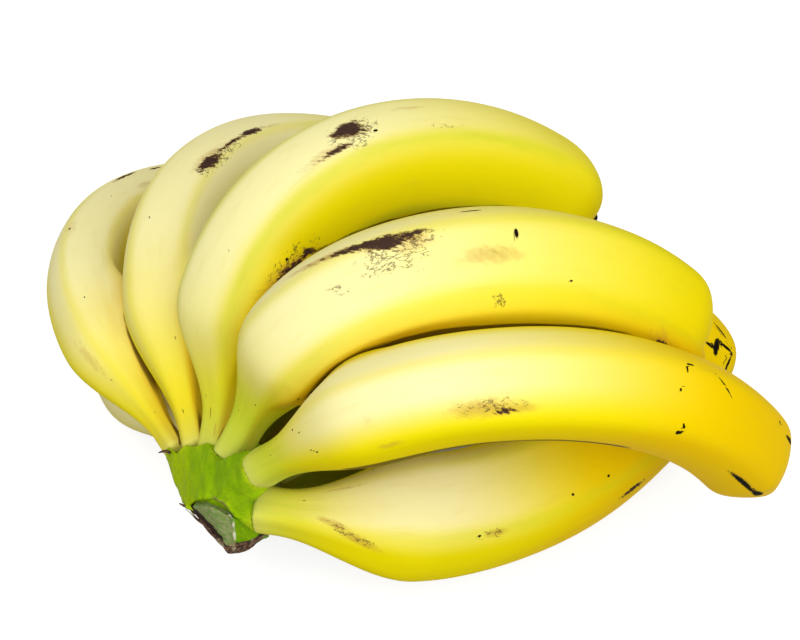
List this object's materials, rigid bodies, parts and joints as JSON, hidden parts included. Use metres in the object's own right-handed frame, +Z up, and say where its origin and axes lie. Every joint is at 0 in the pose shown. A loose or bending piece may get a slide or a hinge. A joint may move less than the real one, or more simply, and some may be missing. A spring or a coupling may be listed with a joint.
{
  "type": "hand of bananas",
  "caption": "Curved ripe banana fingers in two rows, joined at one green cut crown and lying on a surface.",
  "frame": {"origin": "bottom centre of the bounding box, on the plane that the hand rests on", "axes": "+Z up, +X to the right along the front of the hand, from the crown towards the tips, +Y away from the front"},
  "size_m": [0.2302, 0.2442, 0.1261],
  "materials": {
    "peel": "satin, waxy",
    "crown": "satin, waxy"
  },
  "bodies": {
    "root": {"crown": "crown", "outer_finger_a": "peel", "outer_finger_b": "peel", "outer_finger_c": "peel", "outer_finger_d": "peel", "outer_finger_e": "peel", "outer_finger_f": "peel", "inner_finger_a": "peel", "inner_finger_b": "peel", "inner_finger_c": "peel", "inner_finger_d": "peel"}
  },
  "joints": []
}
